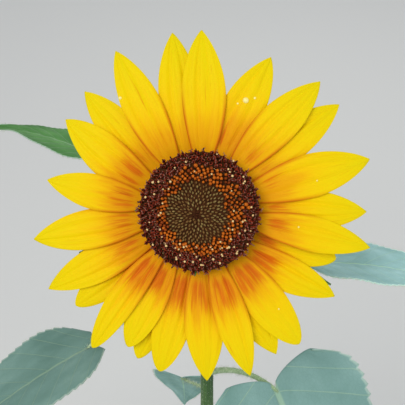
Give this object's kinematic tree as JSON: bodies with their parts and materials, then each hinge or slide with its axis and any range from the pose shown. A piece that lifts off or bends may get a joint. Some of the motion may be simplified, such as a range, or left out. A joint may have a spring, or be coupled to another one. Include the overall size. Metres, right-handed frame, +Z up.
{
  "type": "sunflower plant",
  "caption": "Rooted sunflower plant: a tall hairy stem with toothed heart-shaped leaves and one upturned yellow head, its rays flushed orange round a dark maroon, rust and olive disc.",
  "frame": {"origin": "centre of the flat cut under the stem, at ground level", "axes": "+Z up along the stem, the flower head looks towards -Y and upwards, +X to the right of someone who faces the head"},
  "size_m": [0.597, 0.5934, 1.1233],
  "materials": {
    "stem": "ridged and hairy, matt",
    "petiole": "hairy, matt",
    "leaf": "matt, rough to the touch",
    "calyx": "matt, hairy",
    "ray": "soft satin",
    "open_florets": "matt",
    "opening_florets": "matt",
    "buds": "matt"
  },
  "bodies": {
    "root": {"calyx": "calyx", "disc_buds": "buds", "disc_open_florets": "open_florets", "disc_opening_florets": "opening_florets", "leaf_01": "leaf", "leaf_02": "leaf", "leaf_03": "leaf", "leaf_04": "leaf", "leaf_05": "leaf", "leaf_06": "leaf", "leaf_07": "leaf", "leaf_08": "leaf", "leaf_09": "leaf", "leaf_10": "leaf", "leaf_11": "leaf", "leaf_12": "leaf", "leaf_13": "leaf", "leaf_14": "leaf", "petiole_01": "petiole", "petiole_02": "petiole", "petiole_03": "petiole", "petiole_04": "petiole", "petiole_05": "petiole", "petiole_06": "petiole", "petiole_07": "petiole", "petiole_08": "petiole", "petiole_09": "petiole", "petiole_10": "petiole", "petiole_11": "petiole", "petiole_12": "petiole", "petiole_13": "petiole", "petiole_14": "petiole", "ray_01": "ray", "ray_02": "ray", "ray_03": "ray", "ray_04": "ray", "ray_05": "ray", "ray_06": "ray", "ray_07": "ray", "ray_08": "ray", "ray_09": "ray", "ray_10": "ray", "ray_11": "ray", "ray_12": "ray", "ray_13": "ray", "ray_14": "ray", "ray_15": "ray", "ray_16": "ray", "ray_17": "ray", "ray_18": "ray", "ray_19": "ray", "ray_20": "ray", "ray_21": "ray", "ray_22": "ray", "ray_23": "ray", "ray_24": "ray", "ray_25": "ray", "stem": "stem"}
  },
  "joints": []
}
